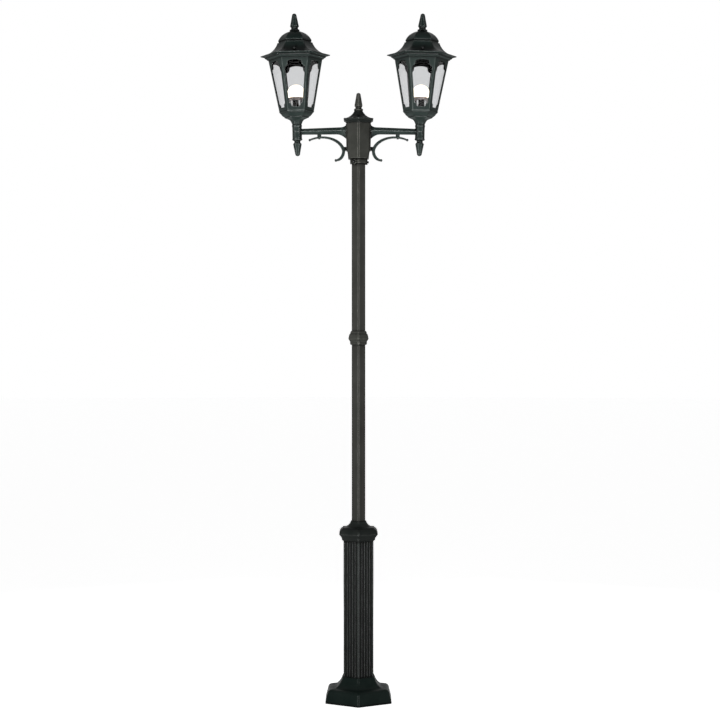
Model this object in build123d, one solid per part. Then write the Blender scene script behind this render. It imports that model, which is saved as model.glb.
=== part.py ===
from build123d import *
import math
import os

# Double head lamp post: hexagonal cast aluminium post carrying two lanterns on drooping arms.
# Lengths are millimetres and angles are degrees. +Z is up and the front is -Y.
# The origin is the middle of the foot, on the ground. "Half" is half of a width across flats.

# Driving sizes of the foot and the fluted column
foot_half = 115.0
foot_wall = 6.0
foot_block_z = 38.5
plate_half = 90.0
plate_thickness = 8.0
anchor_circle_radius = 75.0
anchor_hole_radius = 6.5
anchor_count = 3
cable_hole_radius = 16.0
socket_height = 52.0
socket_wall = 5.0
shoulder_z = 49.6
column_seat_z = 68.0
foot_rim_z = 86.0
foot_rim_wall = 1.9
column_half = 52.1
column_bore_half = 44.0
column_top_z = 560.0
flute_count = 5
flute_pitch = 10.5
flute_radius = 4.2
flute_depth = 3.0
flute_end_gap = 4.2
cap_height = 67.0
cap_spigot_depth = 14.0

# Driving sizes of the post tubes and the knuckle between them
post_half = 23.5
post_wall = 3.0
post_corner_flat = 5.0
knuckle_z = 1242.0
knuckle_height = 48.5
tube_entry = 12.0
spigot_reach = 70.0
spigot_wall = 4.0

# Driving sizes of the head that joins both arms
head_z = 1889.0
head_height = 124.0
head_waist_height = 29.0
head_bottom_half = 36.0
head_waist_half = 39.2
head_top_half = 41.5
head_wall = 4.0
head_floor = 5.0
head_corner_flat = 7.0
pad_thickness = 2.8
pad_width = 36.0
pad_rise = 21.0
pad_drop = 71.0
collar_half = 29.3
collar_height = 20.0
collar_web = 6.0
set_screw_radius = 3.0
set_screw_head_radius = 4.2
set_screw_head_length = 4.5
set_screw_drop = 11.0
head_cable_radius = 14.0
cap_eave_half = 51.5
cap_wall = 3.0
rod_radius = 4.0
rod_bar_width = 10.0

# Driving sizes of the arms and the scroll brackets
arm_height = 98.9
reach = 214.0
arm_tip_half = 9.7
arm_root_half = 12.0
arm_root_rise = 18.0
arm_root_drop = 27.5
top_flare_length = 16.0
bottom_flare_length = 32.0
arm_bore_radius = 5.5
arm_spigot_radius = 8.0
arm_spigot_length = 14.0
arm_nut_half = 12.0
arm_nut_thickness = 5.0
scroll_width = 12.0
lug_screw_radius = 2.0
lead_radius = 2.2
hub_half = 14.8
hub_rise = 25.2
hub_drop = 31.0
hub_bore_radius = 11.0
hub_web = 8.0
nipple_radius = 5.0
nipple_bore_radius = 3.6
nipple_nut_half = 8.5
nipple_nut_thickness = 5.0

# Driving sizes of the lanterns
bowl_height = 45.8
bowl_wall = 3.5
cage_height = 178.0
cage_bottom_half = 53.4
cage_top_half = 82.3
cage_wall = 3.6
cage_corner_flat = 5.0
cage_floor = 4.0
floor_opening_radius = 30.0
cornice_half = 93.0
cornice_height = 8.0
upstand_half = 63.0
upstand_wall = 3.0
upstand_height = 25.0
window_margin = 9.9
window_sill = 11.0
window_crown = 172.0
window_crown_half = 23.2
window_shoulder_drop = 25.0
glass_thickness = 3.0
gasket_thickness = 1.5
eave_half = 105.5
skirt_height = 54.5
skirt_top_half = 54.1
skirt_wall = 3.2
dome_half = 50.2
dome_height = 36.2
dome_wall = 3.0
finial_height = 62.0
finial_half = 13.9
finial_tip_half = 7.2
stud_radius = 3.0
roof_screw_radius = 2.0
roof_screw_head_radius = 3.6
roof_screw_head_length = 2.8
roof_screw_rise = 19.5
cage_screw_radius = 2.0
cage_screw_circle_radius = 37.0

# Driving sizes of the lamp and its holder
holder_radius = 20.0
holder_height = 40.0
holder_seat = 21.0
shell_seat = 12.0
shell_radius = 13.5
shell_wall = 1.5
lamp_cap_radius = 13.2
lamp_cap_length = 24.0
lamp_neck_radius = 20.5
lamp_body_height = 33.5
lamp_dome_radius = 30.0
lamp_dome_height = 44.0
lamp_dome_wall = 1.5

# Clearances
slide_clearance = 0.3
seat_gap = 0.05
thread_clearance = 0.1
running_clearance = 0.05

# Levels that follow from the driving sizes
corner_ratio = 2 / math.sqrt(3)
collar_z = head_z - collar_height
post_top_z = head_z - collar_web
knuckle_seat_z = knuckle_z + tube_entry
knuckle_web_top_z = knuckle_z + knuckle_height - tube_entry
head_top_z = head_z + head_height
head_waist_z = head_z + head_waist_height
arm_z = head_z + arm_height
head_slope = (head_top_half - head_waist_half) / (head_top_z - head_waist_z)
arm_droop = math.degrees(math.atan(head_slope))
side_x = head_waist_half + head_slope * (arm_z - head_waist_z)
root_x = side_x + pad_thickness / math.cos(math.radians(arm_droop))
hub_top_z = arm_z + hub_rise
hub_bottom_z = arm_z - hub_drop
lantern_z = hub_top_z + bowl_height
cage_top_z = lantern_z + cage_height
rim_z = cage_top_z + cornice_height
roof_z = rim_z + gasket_thickness
skirt_top_z = roof_z + skirt_height
dome_top_z = skirt_top_z + dome_height
cage_slope = math.atan((cage_top_half - cage_bottom_half) / cage_height)
holder_z = hub_top_z + holder_seat
holder_top_z = holder_z + holder_height
lamp_neck_z = holder_top_z + 0.5
lamp_rim_z = lamp_neck_z + lamp_body_height


# General shapes

def outline_face(points):
    """Face between a half outline and its mirror image; a point is half width, height, bulge."""
    right, left = [], []
    for (half_a, z_a, bulge), (half_b, z_b, _) in zip(points, points[1:]):
        for side, edges in ((1, right), (-1, left)):
            start, end = (side * half_a, z_a), (side * half_b, z_b)
            edges.append(SagittaArc(start, end, -side * bulge) if bulge else Line(start, end))
    bottom = Line((-points[0][0], points[0][1]), (points[0][0], points[0][1]))
    top = Line((points[-1][0], points[-1][1]), (-points[-1][0], points[-1][1]))
    return make_face([bottom, *right, top, *left])


def moulded(points, corner_flat=0.0, turn=0.0):
    """Hexagonal solid whose six sides follow one outline, with its corners cut to narrow flats."""
    depth = 2 * max(half for half, _, _ in points)
    slab = extrude(Plane.XZ * outline_face(points), depth, both=True)
    solid = slab & Rot(0, 0, 60) * slab & Rot(0, 0, 120) * slab
    if corner_flat:
        cut = corner_flat / (2 * math.sqrt(3))
        corners = [(half * corner_ratio - cut, z, bulge * corner_ratio) for half, z, bulge in points]
        slab = extrude(Plane.XZ * outline_face(corners), depth, both=True)
        for angle in (30, 90, 150):
            solid = solid & Rot(0, 0, angle) * slab
    return Rot(0, 0, turn) * solid


def hexagon(half, corner_flat=0.0, turn=0.0):
    """Flat hexagon with corners at +Y and -Y, and narrow flats in place of its corners."""
    corner = half * corner_ratio - corner_flat / (2 * math.sqrt(3))
    points = []
    for step in range(6):
        angle = math.radians(30 + 60 * step + turn)
        along = (math.cos(angle), math.sin(angle))
        for side in (-1, 1) if corner_flat else (0,):
            offset = side * corner_flat / 2
            points.append((corner * along[0] - offset * along[1], corner * along[1] + offset * along[0]))
    return make_face(Polyline(*points, close=True))


def hex_bar(half, low, high, corner_flat=0.0, turn=0.0):
    """Upright hexagonal bar between two heights."""
    return extrude(Pos(0, 0, low) * hexagon(half, corner_flat, turn), high - low)


def round_bar(radius, low, high):
    """Upright round bar between two heights."""
    return Pos(0, 0, low) * Cylinder(radius, high - low, align=(Align.CENTER, Align.CENTER, Align.MIN))


def radial_bar(radius, inner, outer, z, angle):
    """Round bar lying along a horizontal direction from the middle line."""
    bar = Cylinder(radius, outer - inner, align=(Align.CENTER, Align.CENTER, Align.MIN))
    return Rot(0, 0, angle) * Pos(inner, 0, z) * Rot(0, 90, 0) * bar


def frustum(low_half, low_z, high_half, high_z, corner_flat=0.0, turn=0.0):
    """Upright hexagonal bar whose width changes evenly with height."""
    low = Pos(0, 0, low_z) * hexagon(low_half, corner_flat, turn)
    high = Pos(0, 0, high_z) * hexagon(high_half, corner_flat, turn)
    return loft([low, high], ruled=True)


def box_between(low, high):
    """Box between two opposite corners."""
    size = [b - a for a, b in zip(low, high)]
    return Pos(*low) * Box(*size, align=(Align.MIN, Align.MIN, Align.MIN))


def write(name, *shapes):
    """One file for each named piece, holding its solids."""
    solids = [solid for shape in shapes for solid in shape.solids()]
    export_step(solids[0] if len(solids) == 1 else Compound(solids), os.path.join("parts", name + ".step"))


# Right-hand placement: the arm is square to the head's sloping side, so it droops by that slope

pivot = Pos(root_x, 0, arm_z)
droop_turn = pivot * Rot(0, arm_droop, 0) * Pos(-root_x, 0, -arm_z)
lantern_place = droop_turn * Pos(reach, 0, 0)


def both_sides(shape):
    """The right-hand piece and its mirror image on the left."""
    return shape, mirror(shape, about=Plane.YZ)


def write_pair(name, shape):
    """Separate right-hand and left-hand pieces."""
    right, left = both_sides(shape)
    write(name + "_right", right)
    write(name + "_left", left)


# Foot

def ground_plate():
    """Steel plate bolted to the ground."""
    plate = hex_bar(plate_half, 0, plate_thickness) - round_bar(cable_hole_radius, 0, plate_thickness)
    for step in range(anchor_count):
        hole = Pos(anchor_circle_radius, 0, 0) * round_bar(anchor_hole_radius, 0, plate_thickness)
        plate -= Rot(0, 0, 90 + step * 360 / anchor_count) * hole
    return plate


def ground_socket():
    """Socket on the ground plate that the post stands in."""
    socket_half = post_half + slide_clearance
    socket_top = plate_thickness + socket_height
    socket = hex_bar(socket_half + socket_wall, plate_thickness, socket_top)
    socket -= hex_bar(socket_half, plate_thickness, socket_top)
    return socket - foot_screw_bars(foot_screw_radius + running_clearance, post_half, 2 * post_half)


foot_screw_radius = 4.0
foot_screw_z = plate_thickness + socket_height / 2


def foot_screw_bars(radius, inner, outer):
    """Two level bars on opposite flats of the post."""
    return [radial_bar(radius, inner, outer, foot_screw_z, angle) for angle in (0, 180)]


def foot_screws():
    """Clamping screws in the socket whose tips bear on two flats of the post."""
    tip = post_half + seat_gap
    seat = post_half + slide_clearance + socket_wall + seat_gap
    shanks = foot_screw_bars(foot_screw_radius, tip, seat)
    heads = foot_screw_bars(6.5, seat, seat + 5.3)
    return [shank + head for shank, head in zip(shanks, heads)]


def foot_outline():
    """Battered block, rounded shoulder, and a hollow curve up to the rim round the column."""
    rim_half = column_half + slide_clearance + foot_rim_wall
    return [
        (foot_half, 0, 0),
        (foot_half - 0.7, 6, 0),
        (foot_half - 9.0, foot_block_z, 2.0),
        (foot_half - 21, shoulder_z - 2.1, 0),
        (foot_half - 35.5, shoulder_z, -3.2),
        (rim_half + 3.2, foot_rim_z - 8, 0),
        (rim_half + 0.5, foot_rim_z - 2, 0),
        (rim_half, foot_rim_z, 0),
    ]


def base_casting():
    """Cast foot cover that drops over the post and hides the ground plate."""
    casting = moulded(foot_outline(), corner_flat=5.0)
    room = [
        (foot_half - foot_wall, 0, 0),
        (foot_half - foot_wall - 1, 8, 0),
        (foot_half - foot_wall - 9, foot_block_z - 2, 0),
        (foot_half - 24, shoulder_z - 6.6, 0),
        (foot_half - 43, shoulder_z - 4.6, 0),
        (foot_half - 55, column_seat_z - 9, 0),
    ]
    casting -= moulded(room)
    casting -= hex_bar(column_bore_half, shoulder_z, column_seat_z)
    casting -= hex_bar(column_half + slide_clearance, column_seat_z, foot_rim_z)
    lug_low = plate_thickness + seat_gap
    lug_bounds = hex_bar(foot_half - foot_wall - 0.5, lug_low, lug_low + 9)
    for step in range(3):
        lug = box_between((plate_half * corner_ratio - 10, -12, lug_low), (foot_half * corner_ratio, 12, lug_low + 9))
        casting += Rot(0, 0, 30 + step * 120) * lug & lug_bounds
    return casting


# Column

def fluted_column():
    """Hollow hexagonal column with round-bottomed flutes on every face."""
    column = hex_bar(column_half, column_seat_z, column_top_z, corner_flat=4.0)
    column -= hex_bar(column_bore_half, column_seat_z, column_top_z)
    low = foot_rim_z + flute_end_gap
    high = column_top_z - flute_end_gap
    centre = column_half - flute_depth + flute_radius
    flutes = []
    for face in range(6):
        for step in range(flute_count):
            across = (step - (flute_count - 1) / 2) * flute_pitch
            place = Rot(0, 0, 60 * face) * Pos(centre, across, 0)
            flutes.append(place * round_bar(flute_radius, low, high))
            flutes.append(place * Pos(0, 0, low) * Sphere(flute_radius))
            flutes.append(place * Pos(0, 0, high) * Sphere(flute_radius))
    return column - flutes


def column_cap():
    """Capital that closes the column round the post."""
    low = column_top_z
    high = column_top_z + cap_height
    points = [
        (column_half + 0.8, low, 0),
        (column_half + 5.4, low + 3.8, 0),
        (column_half + 6.2, low + 10, 0),
        (column_half + 7.6, low + 12.5, 0),
        (column_half + 15.0, low + 23, 1.2),
        (column_half + 10.0, low + 38, 0.7),
        (column_half + 3.8, low + 42.4, 0),
        (column_half + 2.2, low + 46, -5.9),
        (post_half + 3.8, high - 2, 0),
        (post_half + 3.2, high, 0),
    ]
    cap = moulded(points, corner_flat=4.0)
    spigot_half = column_bore_half - slide_clearance
    cap -= hex_bar(spigot_half - 6, low, low + 24)
    cap += hex_bar(spigot_half, low - cap_spigot_depth, low) - hex_bar(spigot_half - 6, low - cap_spigot_depth, low)
    return cap - hex_bar(post_half + slide_clearance, low, high)


# Post tubes

def post_tube(low, high):
    """Hexagonal tube with softened corners."""
    tube = hex_bar(post_half, low, high, corner_flat=post_corner_flat)
    return tube - hex_bar(post_half - post_wall, low, high)


def lower_post():
    """Tube from the ground plate up into the knuckle."""
    return post_tube(plate_thickness, knuckle_seat_z)


def upper_post():
    """Tube from the knuckle up into the collar of the head."""
    return post_tube(knuckle_web_top_z, post_top_z)


def post_joint():
    """Moulded knuckle that takes the end of one tube from each side."""
    low = knuckle_z
    points = [
        (post_half + 3.0, low, 0),
        (post_half + 5.5, low + 2.5, 0),
        (post_half + 5.8, low + 11.5, 0),
        (post_half + 11.2, low + 20, 0),
        (post_half + 11.4, low + 22.5, 0),
        (post_half + 9.4, low + 33, 0),
        (post_half + 8.0, low + 37, 0),
        (post_half + 5.6, low + 38.5, 0),
        (post_half + 4.9, low + 43.5, 0),
        (post_half + 2.0, low + knuckle_height, 0),
    ]
    knuckle = moulded(points, corner_flat=4.0)
    entry = post_half + slide_clearance
    knuckle -= hex_bar(entry, low, knuckle_seat_z)
    knuckle -= hex_bar(entry, knuckle_web_top_z, low + knuckle_height)
    return knuckle - hex_bar(post_half - post_wall, knuckle_seat_z, knuckle_web_top_z)


def joint_spigot():
    """Steel sleeve inside the knuckle that lines up both tubes."""
    half = post_half - post_wall - running_clearance
    low = knuckle_seat_z - spigot_reach
    high = knuckle_web_top_z + spigot_reach
    return hex_bar(half, low, high) - hex_bar(half - spigot_wall, low, high)


# Head

set_screw_z = head_z - set_screw_drop
set_screw_angles = {"right": 0, "rear": 120, "front": 240}


def head_collar():
    """Socket over the top of the post, with a boss for each clamping screw."""
    collar = hex_bar(collar_half, collar_z + 4, head_z, corner_flat=3.0)
    boss_reach = 2.0
    for angle in set_screw_angles.values():
        boss = radial_bar(set_screw_drop - 2, post_half - 2, collar_half + boss_reach, set_screw_z, angle)
        collar += boss & hex_bar(2 * collar_half, collar_z, head_z)
    collar -= hex_bar(post_half + slide_clearance, collar_z, post_top_z)
    collar -= round_bar(head_cable_radius, post_top_z, head_z)
    for angle in set_screw_angles.values():
        hole_radius = set_screw_radius + running_clearance
        collar -= radial_bar(hole_radius, post_half, 2 * collar_half, set_screw_z, angle)
    return collar


def set_screw(angle):
    """Clamping screw whose tip bears on one flat of the post."""
    seat = collar_half + 2.0 + slide_clearance
    screw = radial_bar(set_screw_radius, post_half + seat_gap, seat, set_screw_z, angle)
    return screw + radial_bar(set_screw_head_radius, seat, seat + set_screw_head_length, set_screw_z, angle)


def head_outline(inset):
    """Outside of the head, or its room when it is inset by the wall."""
    lip = 5.0
    return [
        (head_bottom_half - 1.2 - inset, head_z, 0),
        (head_bottom_half - inset, head_z + 2, 0),
        (head_bottom_half + 0.3 - inset, head_z + lip + 3, 0),
        (head_bottom_half + 1.4 - inset, head_waist_z - 12, 0),
        (head_waist_half - inset, head_waist_z, 0),
        (head_top_half - inset, head_top_z, 0),
    ]


bar_top_z = head_top_z - 12.0


def head_body():
    """Hollow casting that carries both arms."""
    body = moulded(head_outline(0), corner_flat=head_corner_flat)
    room = hex_bar(head_top_half, head_z + head_floor, head_top_z)
    body -= moulded(head_outline(head_wall)) & room
    for shape in both_sides(droop_turn * side_pad()):
        body += shape
    for angle in (90, 270):
        corner = (head_top_half - head_wall) * corner_ratio
        lug = box_between((corner - 12, -6, bar_top_z + seat_gap), (corner, 6, bar_top_z + 5))
        body += Rot(0, 0, angle) * lug
    body -= round_bar(head_cable_radius, head_z, head_z + head_floor)
    for shape in both_sides(droop_turn * side_holes()):
        body -= shape
    return body


def side_pad():
    """Raised flat on one side of the head that the arm and its bracket are bolted to."""
    half = pad_width / 2
    return box_between((root_x - pad_thickness - 1, -half, arm_z - pad_drop), (root_x, half, arm_z + pad_rise))


def side_holes():
    """Holes through one side of the head for the arm's spigot and the bracket's screw."""
    spigot = Pos(0, 0, arm_z) * Rot(0, 90, 0) * round_bar(arm_spigot_radius + slide_clearance, root_x - 15, root_x + 5)
    screw = Pos(0, 0, lug_z) * Rot(0, 90, 0) * round_bar(lug_screw_radius + thread_clearance, root_x - 15, root_x + 5)
    return spigot + screw


def head_cap():
    """Bell-shaped lid of the head, with a locating ring inside the head."""
    low = head_top_z
    eave_low = low + 10
    neck_z = low + 44
    points = [
        (head_top_half + 1.0, low, -1.5),
        (cap_eave_half - 2.8, eave_low - 1.5, 0),
        (cap_eave_half - 0.2, eave_low + 1, 0),
        (cap_eave_half, eave_low + 5.5, -6.2),
        (finial_half, neck_z, 0),
    ]
    cap = moulded(points, corner_flat=3.0)
    ring_half = head_top_half - head_wall - slide_clearance - 0.2
    inside = [
        (ring_half - cap_wall, low, 0),
        (ring_half - cap_wall, eave_low + 5, -5.0),
        (rod_radius + 5.5, neck_z - 5, 0),
    ]
    cap -= moulded(inside)
    ring_low = low - 6
    cap += hex_bar(ring_half, ring_low, low) - hex_bar(ring_half - cap_wall, ring_low, low)
    return cap - round_bar(rod_radius + slide_clearance, low, neck_z)


def finial_outline(z):
    """Flange, narrow neck and tapered spear."""
    widest = z + 18.0
    tip = z + finial_height
    return [
        (finial_half + 1.0, z, 0),
        (finial_half + 1.6, z + 1, 0),
        (finial_half + 1.6, z + 5.6, 0),
        (finial_half - 2.8, z + 7.6, 0),
        (finial_half - 3.0, z + 12.5, 0),
        (finial_half - 0.2, widest - 1.5, 0),
        (finial_half, widest, 0),
        (finial_tip_half, tip - 5, 0.8),
        (2.4, tip, 0),
    ]


def head_finial():
    """Spear that screws down on the rod and holds the lid."""
    low = head_top_z + 44 + seat_gap
    finial = moulded(finial_outline(low), corner_flat=2.8)
    return finial - round_bar(rod_radius + running_clearance, low, low + 30)


def cap_rod():
    """Rod and cross bar, which pulls the lid down against two lugs in the head."""
    corner = (head_top_half - head_wall) * corner_ratio
    half_width = rod_bar_width / 2
    bar = box_between((-half_width, 4 - corner, bar_top_z - 4), (half_width, corner - 4, bar_top_z))
    return bar + round_bar(rod_radius, bar_top_z, head_top_z + 44 + 26)


block_half_length = 14.0
block_half_width = 9.0
block_top_z = arm_z + 4.0


def terminal_block():
    """Connector strip between the supply and the two lamp leads."""
    low = (-block_half_length, -block_half_width, block_top_z - 10)
    block = box_between(low, (block_half_length, block_half_width, block_top_z))
    for across in (-6, 0, 6):
        block -= Pos(0, across, 0) * round_bar(2.0, block_top_z - 3, block_top_z)
    return block


def terminal_bracket():
    """Folded steel bracket standing on the floor of the head."""
    front = block_half_width + seat_gap
    floor = head_z + head_floor + seat_gap
    upright = box_between((-block_half_length, front, floor), (block_half_length, front + 2, block_top_z))
    foot = box_between((-block_half_length, front, floor), (block_half_length, front + 14, floor + 2))
    return upright + foot - earth_hole(thread_clearance)


def earth_hole(clearance):
    """Bar through the bracket at the earth point."""
    front = block_half_width + seat_gap
    return Pos(0, front - 4, arm_z - 40) * Rot(-90, 0, 0) * round_bar(2.0 + clearance, 0, 10)


def earth_screw():
    """Brass earth screw in the bracket."""
    head = Pos(0, block_half_width - 3.4, arm_z - 40) * Rot(-90, 0, 0) * round_bar(4.0, 0, 3)
    return head + earth_hole(0)


# Arms and brackets, drawn before the droop

lug_z = arm_z - 63.0
side_inner_x = root_x - pad_thickness - head_wall


def arm_section(x, rise, drop, half):
    """Six-sided section of the arm with a level top and bottom and an edge at the front and rear."""
    corner = half * corner_ratio
    points = [(corner, 0), (corner / 2, rise), (-corner / 2, rise), (-corner, 0)]
    points += [(-corner / 2, -drop), (corner / 2, -drop)]
    plane = Plane(origin=(x, 0, arm_z), x_dir=(0, 1, 0), z_dir=(1, 0, 0))
    return plane * make_face(Polyline(*points, close=True))


def arm():
    """Tapered arm with a flared root, and the hub that carries the lantern, cast in one piece."""
    near = root_x + seat_gap
    tip = reach - 5
    sections = []
    for x in (tip, near + bottom_flare_length, near + 24, near + top_flare_length, near + 11, near + 6, near + 3, near):
        share = (tip - x) / (tip - near)
        half = arm_tip_half + (arm_root_half - arm_tip_half) * share
        top = max(0, 1 - (x - near) / top_flare_length) ** 2 * (arm_root_rise - arm_root_half)
        bottom = max(0, 1 - (x - near) / bottom_flare_length) ** 2 * (arm_root_drop - arm_root_half)
        sections.append(arm_section(x, half + top, half + bottom, half + bottom / 6))
    body = loft(sections, ruled=True)
    body += Pos(reach, 0, 0) * hub()
    along = Pos(0, 0, arm_z) * Rot(0, 90, 0)
    body += along * round_bar(arm_spigot_radius, near - arm_spigot_length, near + 2)
    body -= along * round_bar(arm_bore_radius, near - arm_spigot_length, reach)
    body -= Pos(reach, 0, 0) * hub_room()
    tapped = round_bar(lug_screw_radius + thread_clearance, arm_z - arm_root_half, arm_z - arm_root_half + 7)
    return body - Pos(scroll_lug_x, 0, 0) * tapped


def hub():
    """Hexagonal hub with a bead near each end and a fine groove at the arm's middle line."""
    bead = hub_half + 0.8
    points = [
        (hub_half - 3.4, hub_bottom_z, 0),
        (bead, hub_bottom_z + 2.5, 0),
        (bead, hub_bottom_z + 6.5, 0),
        (hub_half, hub_bottom_z + 8, 0),
        (hub_half, arm_z - 1, 0),
        (hub_half - 0.6, arm_z, 0),
        (hub_half, arm_z + 1, 0),
        (hub_half, hub_top_z - 8.5, 0),
        (bead, hub_top_z - 7, 0),
        (bead, hub_top_z - 3, 0),
        (hub_half - 0.6, hub_top_z, 0),
    ]
    return moulded(points, corner_flat=2.0, turn=30)


def hub_room():
    """Wiring room inside the hub, with the holes for the nipple and the pendant's stud."""
    room = round_bar(hub_bore_radius, hub_bottom_z + hub_web, hub_top_z - hub_web)
    room += round_bar(nipple_radius + running_clearance, hub_top_z - hub_web, hub_top_z)
    return room + round_bar(stud_radius + running_clearance, hub_bottom_z, hub_bottom_z + hub_web)


def arm_nut():
    """Nut inside the head on the arm's spigot."""
    outer = side_inner_x - 0.15
    along = Pos(0, 0, arm_z) * Rot(0, 90, 0)
    nut = along * hex_bar(arm_nut_half, outer - arm_nut_thickness, outer)
    return nut - along * round_bar(arm_spigot_radius + thread_clearance, outer - arm_nut_thickness, outer)


# Middle line of the scroll: distance from the post, depth under the arm's middle line, thickness
scroll_line = [
    (171.0, 29.7, 5.2),
    (137.0, 21.6, 6.2),
    (98.0, 26.1, 7.6),
    (67.0, 44.4, 10.2),
    (54.0, 70.0, 11.0),
    (61.6, 92.5, 10.0),
    (81.5, 102.5, 6.2),
]
scroll_lug_x = 137.0


def scroll_edges(side):
    """Points along one edge of the strap."""
    points = []
    for index, (x, depth, thickness) in enumerate(scroll_line):
        before = scroll_line[max(index - 1, 0)]
        after = scroll_line[min(index + 1, len(scroll_line) - 1)]
        run, fall = after[0] - before[0], after[1] - before[1]
        length = math.hypot(run, fall)
        offset = side * thickness / 2
        points.append((x - offset * fall / length, arm_z - depth - offset * run / length))
    return points


def scroll():
    """Flat curled strap under the arm with a lug to the arm and a lug to the head."""
    outer, inner = scroll_edges(1), scroll_edges(-1)
    edges = [Spline(*outer), Line(outer[-1], inner[-1]), Spline(*inner), Line(inner[0], outer[0])]
    strap = extrude(Plane.XZ * make_face(edges), scroll_width / 2, both=True)
    half = scroll_width / 2
    for x, depth, thickness in (scroll_line[0], scroll_line[-1]):
        roll = Cylinder(thickness / 2 + 1.2, scroll_width)
        strap += Pos(x, 0, arm_z - depth) * Rot(90, 0, 0) * roll
    lug_low, lug_half = arm_z - scroll_line[1][1], 7
    lug_top = arm_z - arm_underside_half(scroll_lug_x - lug_half) - seat_gap
    strap += box_between((scroll_lug_x - lug_half, -half, lug_low), (scroll_lug_x + lug_half, half, lug_top))
    head_lug_x = scroll_line[4][0]
    strap += box_between((root_x + seat_gap, -half, lug_z - 6.5), (head_lug_x, half, lug_z + 6.5))
    bead = Pos(root_x + 6.0, 0, lug_z - 8.0) * Rot(90, 0, 0) * Cylinder(2.3, scroll_width * 0.8)
    strap += bead
    along = Pos(0, 0, lug_z) * Rot(0, 90, 0)
    strap -= along * round_bar(lug_screw_radius + thread_clearance, root_x - 1, root_x + 11)
    screw_low = arm_z - scroll_line[1][1] - 4
    strap -= Pos(scroll_lug_x, 0, 0) * round_bar(lug_screw_radius + thread_clearance, screw_low, arm_z)
    return strap


def arm_underside_half(x):
    """Half height of the arm at a distance from the post, clear of its flared root."""
    share = (reach - 5 - x) / (reach - 5 - root_x - seat_gap)
    return arm_tip_half + (arm_root_half - arm_tip_half) * share


def scroll_screws():
    """Screw up into the arm, and screw out of the head into the bracket's lug."""
    low = arm_z - scroll_line[1][1] - scroll_line[1][2] / 2
    head_radius, head_length = 3.5, 2.2
    arm_screw = Pos(scroll_lug_x, 0, 0) * round_bar(lug_screw_radius, low - 1, arm_z - arm_root_half + 6.5)
    arm_screw += Pos(scroll_lug_x, 0, 0) * round_bar(head_radius, low - 1 - head_length, low - 1)
    inner_face = side_inner_x - 0.15
    along = Pos(0, 0, lug_z) * Rot(0, 90, 0)
    head_screw = along * round_bar(lug_screw_radius, inner_face, root_x + 10)
    head_screw += along * round_bar(head_radius, inner_face - head_length, inner_face)
    return arm_screw + head_screw


def pendant():
    """Spear hanging under the hub, with the stud that holds it."""
    top = hub_bottom_z - seat_gap
    points = [
        (2.4, top - 53.2, 0.8),
        (finial_tip_half + 0.4, top - 48.4, 0),
        (finial_half - 0.4, top - 12, 0),
        (finial_half - 0.6, top - 10.5, 0),
        (finial_half - 4.0, top - 6, 0),
        (finial_half - 3.8, top, 0),
    ]
    return moulded(points, corner_flat=2.8, turn=30) + round_bar(stud_radius, top, top + 7)


# Lantern, drawn upright on its own middle line

def nipple():
    """Hollow threaded tube that clamps the bowl to the hub and carries the lamp holder."""
    low, high = hub_top_z - hub_web, holder_z + 8
    return round_bar(nipple_radius, low, high) - round_bar(nipple_bore_radius, low, high)


def nipple_nut():
    """Nut on the floor of the bowl."""
    low = hub_top_z + bowl_floor + seat_gap
    nut = hex_bar(nipple_nut_half, low, low + nipple_nut_thickness)
    return nut - round_bar(nipple_radius + running_clearance, low, low + nipple_nut_thickness)


bowl_floor = 4.8


def bowl():
    """Hexagonal bowl under the cage, with mouldings round its upper half."""
    low = hub_top_z + seat_gap
    top = lantern_z
    rim = cage_bottom_half
    points = [
        (hub_half - 0.5, low, 0),
        (hub_half + 0.5, low + 2, -1.0),
        (hub_half + 7.6, low + 16.5, 0),
        (rim - 18.6, low + 22.6, 0),
        (rim - 16.2, low + 23.6, 0),
        (rim - 16.2, low + 25.6, 0),
        (rim - 14.4, low + 27.0, 0.8),
        (rim - 6.2, top - 9.5, 0),
        (rim - 5.0, top - 8.0, 0),
        (rim - 3.8, top - 7.5, 0),
        (rim - 3.4, top - 5.8, 0),
        (rim - 0.6, top - 3.2, 0),
        (rim - 0.2, top, 0),
    ]
    body = moulded(points, corner_flat=2.0, turn=30)
    flange = 4.0
    room = [
        (hub_half - 2.4, low + bowl_floor, -0.8),
        (hub_half + 4.0, low + 18.3, 0),
        (rim - 21.4, low + 25.8, 0),
        (rim - 8.2 - bowl_wall / 2, top - 8, 0),
        (rim - 7.6 - bowl_wall / 2, top - flange, 0),
    ]
    body -= moulded(room, turn=30)
    body -= round_bar(floor_opening_radius, top - flange - 1, top)
    body -= round_bar(nipple_radius + running_clearance, low, low + bowl_floor)
    return body - cage_screw_bars(cage_screw_radius + thread_clearance, top - flange, top)


def cage_screw_bars(radius, low, high):
    """Three upright bars on the circle of the cage screws."""
    bar = Pos(cage_screw_circle_radius, 0, 0) * round_bar(radius, low, high)
    return Rot(0, 0, 90) * bar + Rot(0, 0, 210) * bar + Rot(0, 0, 330) * bar


def face_place(step):
    """Place on one outer face of the cage, with x across, y up the slope and z outwards."""
    slope = Plane(
        origin=(0, -cage_bottom_half, lantern_z),
        x_dir=(1, 0, 0),
        z_dir=(0, -math.cos(cage_slope), -math.sin(cage_slope)),
    )
    return Rot(0, 0, 60 * step) * slope.location


def face_half(up):
    """Half width of a cage face at a distance up its slope."""
    low = cage_bottom_half * corner_ratio / 2
    return low + up * math.cos(cage_slope) * (cage_top_half - cage_bottom_half) * corner_ratio / 2 / cage_height


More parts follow.
